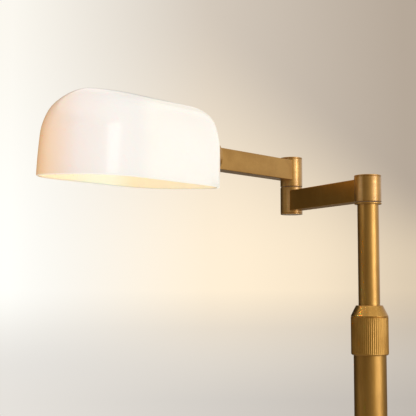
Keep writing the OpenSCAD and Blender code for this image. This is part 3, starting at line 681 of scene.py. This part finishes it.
class LAMP_OT_clamp_collar(bpy.types.Operator):
    """Models the reeded clamp collar with its rolled lip, turned cone and stepped bore"""

    bl_idname = "lamp.clamp_collar"
    bl_label = "Model the clamp collar"

    def execute(self, context):
        shape = context.scene.lamp_shape
        ridge, deep = 18.4, 18.4 - shape.reed_depth
        base, shoulder, top = COLLAR_BASE, COLLAR_SHOULDER, COLLAR_TOP
        lower_bore, thread_bore, upper_bore, ledge = 16.06, 14.36, 10.85, 1032.85
        outside = [
            (lower_bore, base),
            (17.3, base),
            (17.75, base + 0.2),
            (deep, base + 0.7),
            (deep, base + 1.0),
            (ridge, base + 1.25),
            (ridge, base + 2.0),
            (ridge, shoulder - 1.9),
            (ridge, shoulder - 1.15),
            (deep, shoulder - 0.9),
            (deep - 0.15, shoulder - 0.65),
            (deep, shoulder - 0.4),
            (ridge - 0.1, shoulder - 0.3),
            (ridge, shoulder - 0.1),
            (ridge, shoulder + 0.15),
        ]
        foot, tip, rise = ridge - 0.15, 13.4, 9.6
        cone = [(foot - (foot - tip) * i / 6, shoulder + 0.4 + rise * i / 6) for i in range(7)]
        bore = [
            (13.25, top - 0.15),
            (13.0, top),
            (11.1, top),
            (upper_bore, top - 0.25),
            (upper_bore, 1052.1),
            (12.66, 1051.8),
            (thread_bore, 1041.8),
            (thread_bore, ledge),
            (lower_bore, ledge),
            (lower_bore, base),
        ]
        per_reed = 8
        steps = shape.reeds * per_reed
        obj = lathe("height_collar_reeded", outside + cone + bore, steps)
        self.flute(obj, per_reed, steps, ridge, shape.reed_depth, base + 1.5, shoulder - 1.5)
        finish_piece(obj, "height_collar", "collar", "brass_collar", None, 50)
        return {"FINISHED"}

    def flute(self, obj, per_reed, steps, ridge, depth, low, high):
        """Draws each groove in, one column of points at a time, to a round hollow."""
        make_active(obj)
        bpy.ops.object.mode_set(mode="EDIT")
        for column in range(1, per_reed):
            away = abs(column - per_reed / 2) / (per_reed / 2)
            inner = ridge - depth * (1 - away**2)

            def in_column(v, column=column):
                step = round(math.atan2(v.co.y, v.co.x) / TURN * steps)
                return (
                    low * MM < v.co.z < high * MM
                    and math.hypot(v.co.x, v.co.y) > (ridge - 0.05) * MM
                    and step % per_reed == column
                )

            select_in_edit(obj, "VERT", in_column)
            ratio = inner / ridge
            bpy.ops.transform.resize(value=(ratio, ratio, 1), center_override=(0, 0, 0))
        bpy.ops.object.mode_set(mode="OBJECT")


class LAMP_OT_base(bpy.types.Operator):
    """Models the spun base cover, the column's foot, the felt pad and the cable grommet"""

    bl_idname = "lamp.base"
    bl_label = "Model the base"

    def execute(self, context):
        # The cover: a spun dish of one wall, from its bent edge to the hole for the column
        wall, bend, hole, hem = 1.5, 6, 5, 3.1
        edge, under = BASE_RADIUS - bend, BASE_TOP - wall
        outer = [(BASE_RADIUS, hem)] + arc_points(edge, 15, bend, 0, 80, 14) + [(60, 24.4)]
        flat = [(34, BASE_TOP), (hole, BASE_TOP), (hole, under), (34, under)]
        inner = [(60, 22.9)] + arc_points(edge, 15, bend - wall, 80, 0, 14)
        lip = [(BASE_RADIUS - wall, hem), (133.7, 3), (134.8, 3), (BASE_RADIUS, hem)]
        obj = lathe("base_cover_spun", outer + flat + inner + lip, 192)
        cut_away(obj, 5, 125, 140, TO_REAR)
        finish_piece(obj, "base_cover", "stand", "brass_base")

        # The foot: a flange, a cove and a neck round the column's end
        flange = [(hole, BASE_TOP), (27.7, BASE_TOP), (28, 26.3), (28, 28.7), (27.7, 29)]
        cove = arc_points(27.5, 29 + 8.9, 8.9, 270, 180, 12)
        neck = [(18.6, 40.4), (18.35, 40.85), (18.0, 41), (16.0, 41), (16, 30), (hole, 30)]
        obj = lathe("column_foot_turned", flange + cove + neck + [(hole, BASE_TOP)], 128)
        finish_piece(obj, "column_foot", "stand", "brass_base")

        # The pad: a felt disc with its edge rounded above and below
        soft = arc_points(129.2, 0.8, 0.8, -90, 0, 4) + arc_points(129.2, 1.2, 0.8, 0, 90, 4)
        obj = lathe("floor_pad_felt", [(0, 0), (60, 0)] + soft + [(60, 2), (0, 2)], 160)
        finish_piece(obj, "floor_pad", "stand", "felt")

        # The grommet: its groove holds the cover's edge, and its brim stands outside
        bore, groove, brim = 3.6, 5.0, 6.5
        ring = [
            (bore, 131.2),
            (5.4, 131.2),
            (5.4, 133.2),
            (groove, 133.2),
            (groove, 135.0),
            (brim, 135.0),
            (brim, 136.1),
            (5.9, 137.0),
            (4.1, 137.0),
            (bore, 136.6),
            (bore, 131.2),
        ]
        obj = lathe("cord_grommet_moulded", ring, 64)
        finish_piece(obj, "cord_grommet", "stand", "rubber_black", TO_REAR)
        return {"FINISHED"}


class LAMP_OT_glass_shade(bpy.types.Operator):
    """Models the opal glass shade: a smooth blown form with a fire-polished rim and a ground seat"""

    bl_idname = "lamp.glass_shade"
    bl_label = "Model the glass shade"

    # In millimetres: the ends are drawn in by END_LEN over their top END_H, the sides over CROWN
    LENGTH, WIDTH, HEIGHT, WALL = 172.0, 120.4, 78.4, 3.0
    CORNER, END_LEN, END_H, CROWN = 45.0, 25.0, 39.0, 19.4
    AXIS_UP = 34.0
    RIM_ROUND = 1.42
    LONG_STEPS, SHORT_STEPS, CORNER_STEPS = 24, 8, 22
    WALL_LEVELS, CROWN_LEVELS = 12, 44

    def drawn_in(self, z, height, power):
        """How far a level is drawn in, from 0 below the last height to 1 at the top."""
        w = min(1.0, max(0.0, (z - self.HEIGHT + height) / height))
        return 1 - (1 - w**power) ** (1 / power)

    def plan(self, z):
        """One level of the outside, as points of a rectangle with round corners."""
        a = self.LENGTH / 2 - self.END_LEN * self.drawn_in(z, self.END_H, 1.67)
        b = self.WIDTH / 2 * (1 - self.drawn_in(z, self.CROWN, 2))
        full = 1 - (1 - self.CORNER / (self.WIDTH / 2)) * (1 - (z / self.HEIGHT) ** 2)
        r = b * full
        points = []
        for side in range(4):
            sx = 1 if side in (0, 3) else -1
            sy = 1 if side < 2 else -1
            for i in range(self.CORNER_STEPS + 1):
                t = math.radians(90 * side + 90 * i / self.CORNER_STEPS)
                points.append((sx * (a - r) + r * math.cos(t), sy * (b - r) + r * math.sin(t)))
            straight = self.LONG_STEPS if side in (0, 2) else self.SHORT_STEPS
            x0, y0 = points[-1]
            if side in (0, 2):
                points += [(x0 - 2 * sx * (a - r) * i / straight, y0) for i in range(1, straight)]
            else:
                points += [(x0, y0 - 2 * sy * (b - r) * i / straight) for i in range(1, straight)]
        return points

    def execute(self, context):
        start = self.HEIGHT - self.END_H
        heights = [start * (i / self.WALL_LEVELS) for i in range(self.WALL_LEVELS)]
        for i in range(self.CROWN_LEVELS + 1):
            turn = math.radians(90 * i / self.CROWN_LEVELS)
            heights.append(start + self.END_H * math.sin(turn))
        levels = [self.plan(z) for z in heights]
        count, rows = len(levels[0]), len(levels) - 1
        deselect_all()
        bpy.ops.mesh.primitive_grid_add(x_subdivisions=count, y_subdivisions=rows, size=1)
        obj = bpy.context.object
        obj.name = "glass_shade_opal"
        for row, (z, level) in enumerate(zip(heights, levels)):
            for column in range(count + 1):
                x, y = level[column % count]
                obj.data.vertices[row * (count + 1) + column].co = (x * MM, y * MM, z * MM)
        bpy.ops.object.mode_set(mode="EDIT")
        bpy.ops.mesh.select_all(action="SELECT")
        bpy.ops.mesh.remove_doubles(threshold=0.01 * MM)
        bpy.ops.mesh.normals_make_consistent(inside=False)
        bpy.ops.object.mode_set(mode="OBJECT")
        apply_modifier(obj, "SOLIDIFY", thickness=self.WALL * MM, offset=-1, use_even_offset=True)
        bpy.ops.object.mode_set(mode="EDIT")

        def at_rim(face):
            return all(v.co.z < 0.01 * MM for v in face.verts) and abs(face.normal.z) > 0.9

        select_in_edit(obj, "FACE", at_rim)
        bpy.ops.mesh.region_to_loop()
        bpy.ops.mesh.bevel(offset=self.RIM_ROUND * MM, segments=6, affect="EDGES")
        bpy.ops.object.mode_set(mode="OBJECT")
        obj.matrix_world = Matrix.Translation((self.LENGTH / 2 * MM, 0, -self.AXIS_UP * MM))
        bpy.ops.object.transform_apply(location=True, rotation=True, scale=True)
        # The hole for the nipple, and the flat seat ground round it inside
        cut_away(obj, GLASS_BORE, -2, 6, ALONG_X)
        cut_away(obj, 12.5, 3.0, 9, ALONG_X)
        finish_piece(obj, "glass_shade", "shade_head", "opal_glass", SHADE, 40)
        return {"FINISHED"}


class LAMP_OT_bulb_and_holder(bpy.types.Operator):
    """Models the globe bulb with its rolled thread and the porcelain holder in its brass cup"""

    bl_idname = "lamp.bulb_and_holder"
    bl_label = "Model the bulb and its holder"

    def execute(self, context):
        depth = context.scene.lamp_shape.thread_depth
        along = SHADE @ ALONG_X
        neck, neck_radius, centre, radius = 31.7, 6.7, BULB_OUT, BULB_RADIUS
        turn = 180 - math.degrees(math.asin(neck_radius / radius))
        outer = arc_points(0, 0, radius, turn, 0, 40)
        inner = arc_points(0, 0, radius - 1, 0, turn - 2, 40)
        globe = [(neck_radius, neck)] + [(y, centre + x) for x, y in outer + inner]
        globe += [(neck_radius - 1, neck), (neck_radius, neck)]
        obj = lathe("bulb_globe", globe, 96)
        finish_piece(obj, "bulb_glass", "shade_head", "bulb_frost", along, 60)

        # The thread's crests lie at the cap's own radius, and it fades out over 1 mm at both ends
        crest, pitch, rows = 7.0, 2.82, 72
        low, high = 18.9, neck - 1.4
        thread = [(crest, low + (high - low) * i / rows) for i in range(rows + 1)]
        tip = [(0, 14.7), (1.9, 14.8), (2.6, 15.4), (3.0, 16.7), (6.2, 18.0), (6.8, 18.5)]
        end = [(crest, neck - 0.4), (6.8, neck), (0, neck)]
        obj = lathe("bulb_cap_threaded", tip + thread + end, 72)
        for v in obj.data.vertices:
            z, r = v.co.z / MM, math.hypot(v.co.x, v.co.y) / MM
            if low < z < high and r > crest - 0.1:
                fade = min(1.0, z - low, high - z)
                wave = 0.5 + 0.5 * math.cos(TURN * z / pitch - math.atan2(v.co.y, v.co.x))
                ratio = 1 - depth * wave * fade / r
                v.co.x, v.co.y = v.co.x * ratio, v.co.y * ratio
        finish_piece(obj, "bulb_cap", "shade_head", "bulb_cap_nickel", along, 60)

        hole, wide = 5, 12.8
        cup = [(hole, 8.2), (wide, 8.2), (13.6, 8.5), (14, 9.3), (14, 29.6), (13.8, 30.2)]
        cup += [(13.0, 30.2), (wide, 29.8), (wide, 9.7), (hole, 9.7), (hole, 8.2)]
        obj = lathe("socket_cup_turned", cup, 96)
        finish_piece(obj, "socket_cup", "shade_head", "brass_joint", along)

        body = [(1.5, 11.2), (hole, 11.2), (hole, 9.7), (wide, 9.7), (wide, 31.4), (12.4, 32.0)]
        body += [(11.8, 32.2), (9.0, 32.2), (8.3, 31.9), (8, 31.3), (8, 13.7), (1.5, 13.7)]
        body += [(1.5, 11.2)]
        obj = lathe("socket_body_porcelain", body, 96)
        finish_piece(obj, "socket_body", "shade_head", "porcelain", along)
        return {"FINISHED"}


class LAMP_OT_stage(bpy.types.Operator):
    """Sets the camera, the floor, the pale background and the lights"""

    bl_idname = "lamp.stage"
    bl_label = "Set the stage"

    def soft_box(self, name, place, aim, size, power, pieces):
        """A box of light that reaches the named pieces alone."""
        data = bpy.data.lights.new(name, "AREA")
        data.shape = "RECTANGLE"
        data.size, data.size_y = size
        data.energy = power
        obj = bpy.data.objects.new(name, data)
        bpy.context.scene.collection.objects.link(obj)
        obj.location = place
        obj.rotation_euler = (Vector(aim) - Vector(place)).to_track_quat("-Z", "Y").to_euler()
        obj.visible_camera = False
        group = bpy.data.collections.new("lit_by_" + name)
        for piece in pieces:
            group.objects.link(piece)
        obj.light_linking.receiver_collection = group

    def curved_card(self):
        """A dim card round the lamp, which only reflections see, as beside polished metal in a studio."""
        above, start, end, warmth = 0.95, -176, 24, (1, 0.88, 0.66)
        deselect_all()
        bpy.ops.mesh.primitive_cylinder_add(
            vertices=96, radius=2.7, depth=3.4, end_fill_type="NOTHING", location=(0, 0, 1.2)
        )
        obj = bpy.context.object
        obj.name = "curved_card"
        bpy.ops.object.transform_apply(location=True, rotation=True, scale=True)
        bpy.ops.object.mode_set(mode="EDIT")

        def beyond(face):
            spot = face.calc_center_median()
            turn = math.degrees(math.atan2(spot.x, -spot.y))
            return not (start < turn < end or spot.z < above)

        bpy.ops.mesh.select_all(action="SELECT")
        bpy.ops.mesh.bisect(plane_co=(0, 0, above), plane_no=(0, 0, 1))
        select_in_edit(obj, "FACE", beyond)
        bpy.ops.mesh.delete(type="FACE")
        bpy.ops.object.mode_set(mode="OBJECT")
        for ray in ("visible_camera", "visible_diffuse", "visible_shadow", "visible_transmission"):
            setattr(obj, ray, False)
        tree, shader = new_finish("curved_card", Base_Color=(0.0, 0.0, 0.0, 1), Roughness=1.0)
        x, y, _ = axes_of(tree, placed(tree))
        turn = calc(tree, "ARCTAN2", x, calc(tree, "MULTIPLY", y, -1.0))
        # Brightness by the angle from straight ahead of the lamp, in degrees, to its right
        stops = (
            (-180, 0.03), (-130, 0.03), (-112, 0.10), (-95, 0.33), (-80, 0.31), (-60, 0.20), (-40, 0.16),
            (-15, 0.25), (5, 0.42), (24, 0.58), (70, 0.4), (110, 0.12), (176, 0.05), (180, 0.05),
        )
        stops = [(math.radians(t), [v * c for c in warmth]) for t, v in stops]
        fill(tree, shader.inputs["Emission Color"], ramp(tree, turn, stops))
        shader.inputs["Emission Strength"].default_value = 1.0
        obj.data.materials.append(bpy.data.materials["curved_card"])

    def background(self):
        """A pale wall tone by direction, with a soft warm glow low behind the lamp."""
        world = bpy.data.worlds.new("studio")
        bpy.context.scene.world = world
        world.use_nodes = True
        tree = world.node_tree
        tree.nodes.clear()
        x, y, z = axes_of(tree, add(tree, "ShaderNodeTexCoord").outputs["Generated"])
        ahead = calc(tree, "MAXIMUM", y, 0.25)
        across, up = calc(tree, "DIVIDE", x, ahead), calc(tree, "DIVIDE", z, ahead)

        # The wall, brightest at the left, over a ground that is plainer below the horizon
        edge = 0.21
        stops = (
            (-edge, (0.97, 0.94, 0.87)),
            (0.0, (0.66, 0.585, 0.50)),
            (edge, (0.47, 0.395, 0.32)),
        )
        wall = ramp(tree, across, stops)
        ground = ramp(tree, across, ((-edge, (0.79, 0.76, 0.715)), (edge, (0.535, 0.49, 0.44))))
        wall = mix(tree, spread(tree, up, -0.09, 0.0), ground, wall)

        # The glow: a band that rises in two steps, and ends lower towards the right
        under = spread(tree, up, -0.12, -0.045, 0.0, 0.45, "LINEAR")
        under = calc(tree, "ADD", under, spread(tree, up, -0.045, -0.005, 0.0, 0.55, "LINEAR"))
        lower = calc(tree, "MULTIPLY", calc(tree, "MAXIMUM", across, 0.0), 0.9)
        over = spread(tree, up, 0.02, calc(tree, "SUBTRACT", 0.31, lower), 1.0, 0.0)
        fading = spread(tree, across, 0.1, 0.23, 1.0, 0.65)
        band = calc(tree, "MULTIPLY", calc(tree, "MULTIPLY", under, over), fading)
        warmer = spread(tree, across, -0.2, 0.05)
        band_colour = mix(tree, warmer, (0.06, 0.08, 0.10), (0.38, 0.31, 0.19))
        wall = mix(tree, band, wall, band_colour, "ADD")

        # Past the picture's edges, behind the camera and far below, the tone is even
        beside = spread(tree, calc(tree, "ABSOLUTE", across), 0.27, 0.7)
        behind = spread(tree, y, 0.3, 0.5, 1.0, 0.0)
        below = spread(tree, up, -0.25, -0.14, 1.0, 0.0)
        plain = calc(tree, "MAXIMUM", calc(tree, "MAXIMUM", beside, behind), below)
        wall = mix(tree, plain, wall, PALE)

        # The wall is seen, also in reflections, and an even white lights the room
        pale = add(tree, "ShaderNodeBackground", Color=wall, Strength=1.0)
        white = add(tree, "ShaderNodeBackground", Color=(1.0, 0.97, 0.93, 1), Strength=0.45)
        path = add(tree, "ShaderNodeLightPath").outputs
        seen = calc(tree, "MAXIMUM", path["Is Camera Ray"], path["Is Glossy Ray"])
        seen = calc(tree, "MAXIMUM", seen, path["Is Transmission Ray"])
        both = mix_shaders(tree, seen, white.outputs[0], pale.outputs[0])
        add(tree, "ShaderNodeOutputWorld", Surface=both)

    def floor(self):
        deselect_all()
        bpy.ops.mesh.primitive_circle_add(vertices=96, radius=7, fill_type="NGON", location=(0, 0, 0))
        obj = bpy.context.object
        obj.name = "studio_floor"
        tree, shader = new_finish("studio_floor", Roughness=0.85)
        speck = noise(tree, placed(tree), 30.0, 4.0)
        colour = mix(tree, speck, (0.62, 0.59, 0.54), (0.60, 0.57, 0.52))
        fill(tree, shader.inputs["Base Color"], colour)
        shader.inputs["Emission Color"].default_value = (*PALE, 1)
        path = add(tree, "ShaderNodeLightPath").outputs
        lift = calc(tree, "MULTIPLY", path["Is Camera Ray"], 0.42)
        fill(tree, shader.inputs["Emission Strength"], lift)
        # It thins out into the wall's tone, and from below it isn't there
        far = add(tree, "ShaderNodeVectorMath", {"operation": "LENGTH"}, Vector=placed(tree))
        thin = spread(tree, far.outputs["Value"], 0.8, 3.5)
        below = add(tree, "ShaderNodeNewGeometry").outputs["Backfacing"]
        clear = add(tree, "ShaderNodeBsdfTransparent").outputs[0]
        both = mix_shaders(tree, calc(tree, "MAXIMUM", thin, below), shader.outputs[0], clear)
        fill(tree, tree.nodes["Material Output"].inputs["Surface"], both)
        obj.data.materials.append(bpy.data.materials["studio_floor"])
        return obj

    def camera(self, stage):
        camera = bpy.data.objects.new("camera", bpy.data.cameras.new("camera"))
        bpy.context.scene.collection.objects.link(camera)
        camera.data.sensor_width = 36
        camera.data.lens = stage.lens
        camera.data.clip_start, camera.data.clip_end = 0.05, 60
        camera.location = stage.place
        camera.rotation_euler = (math.pi / 2 + stage.tilt, 0, 0)
        bpy.context.scene.camera = camera
        bpy.context.scene.view_settings.view_transform = "Standard"

    def bulb_light(self, power):
        """The light inside the globe, which turns with the shade."""
        bulb = bpy.data.objects.new("bulb_light", bpy.data.lights.new("bulb_light", "POINT"))
        bulb.data.energy = power
        bulb.data.color = (1.0, 0.88, 0.56)
        bulb.data.shadow_soft_size = (BULB_RADIUS + 0.5) * MM
        bpy.context.scene.collection.objects.link(bulb)
        bulb.location = BULB_SPOT
        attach(bulb, "shade_head")

    def execute(self, context):
        stage = context.scene.lamp_stage
        self.camera(stage)
        self.background()
        floor = self.floor()
        glass = bpy.data.objects["glass_shade_opal"]
        lamp = [o for o in bpy.data.objects if o.type == "MESH" and o not in (glass, floor)]
        box = self.soft_box
        box("key_right", (1.42, -1.15, 1.25), (0, 0, 1.1), (1.4, 2.2), stage.key, lamp)
        box("key_strip", (1.45, -0.98, 1.38), (0, 0, 1.2), (0.2, 0.8), stage.strip, lamp)
        box("top", (0.3, -0.6, 3.2), (0, 0, 0.8), (2.0, 2.0), stage.top, [*lamp, floor])
        self.curved_card()
        box("glass_streak", (0.13, -2.1, 1.6), (-0.24, -0.15, 1.2), (0.95, 1.1), stage.streak, [glass])
        self.bulb_light(stage.bulb)
        return {"FINISHED"}


class LAMP_PT_panel(bpy.types.Panel):
    """Lists the steps that dress the lamp"""

    bl_idname = "LAMP_PT_panel"
    bl_label = "Bridge floor lamp"
    bl_space_type = "VIEW_3D"
    bl_region_type = "UI"
    bl_category = "Lamp"

    def draw(self, context):
        layout = self.layout
        for group in (context.scene.lamp_look, context.scene.lamp_shape, context.scene.lamp_stage):
            box = layout.box()
            for name in group.__annotations__:
                box.prop(group, name)
        for step in STEPS:
            layout.operator(step.bl_idname)


STEPS = (
    LAMP_OT_finishes,
    LAMP_OT_arm_bars,
    LAMP_OT_clamp_collar,
    LAMP_OT_base,
    LAMP_OT_glass_shade,
    LAMP_OT_bulb_and_holder,
    LAMP_OT_stage,
)
GROUPS = {"lamp_look": LampLook, "lamp_shape": LampShape, "lamp_stage": LampStage}


def register():
    for cls in (*GROUPS.values(), *STEPS, LAMP_PT_panel):
        bpy.utils.register_class(cls)
    for name, cls in GROUPS.items():
        setattr(bpy.types.Scene, name, PointerProperty(type=cls))


def unregister():
    for name in GROUPS:
        delattr(bpy.types.Scene, name)
    for cls in reversed((*GROUPS.values(), *STEPS, LAMP_PT_panel)):
        bpy.utils.unregister_class(cls)


def main():
    register()
    for step in STEPS:
        group, name = step.bl_idname.split(".")
        getattr(getattr(bpy.ops, group), name)()


if __name__ == "__main__":
    main()
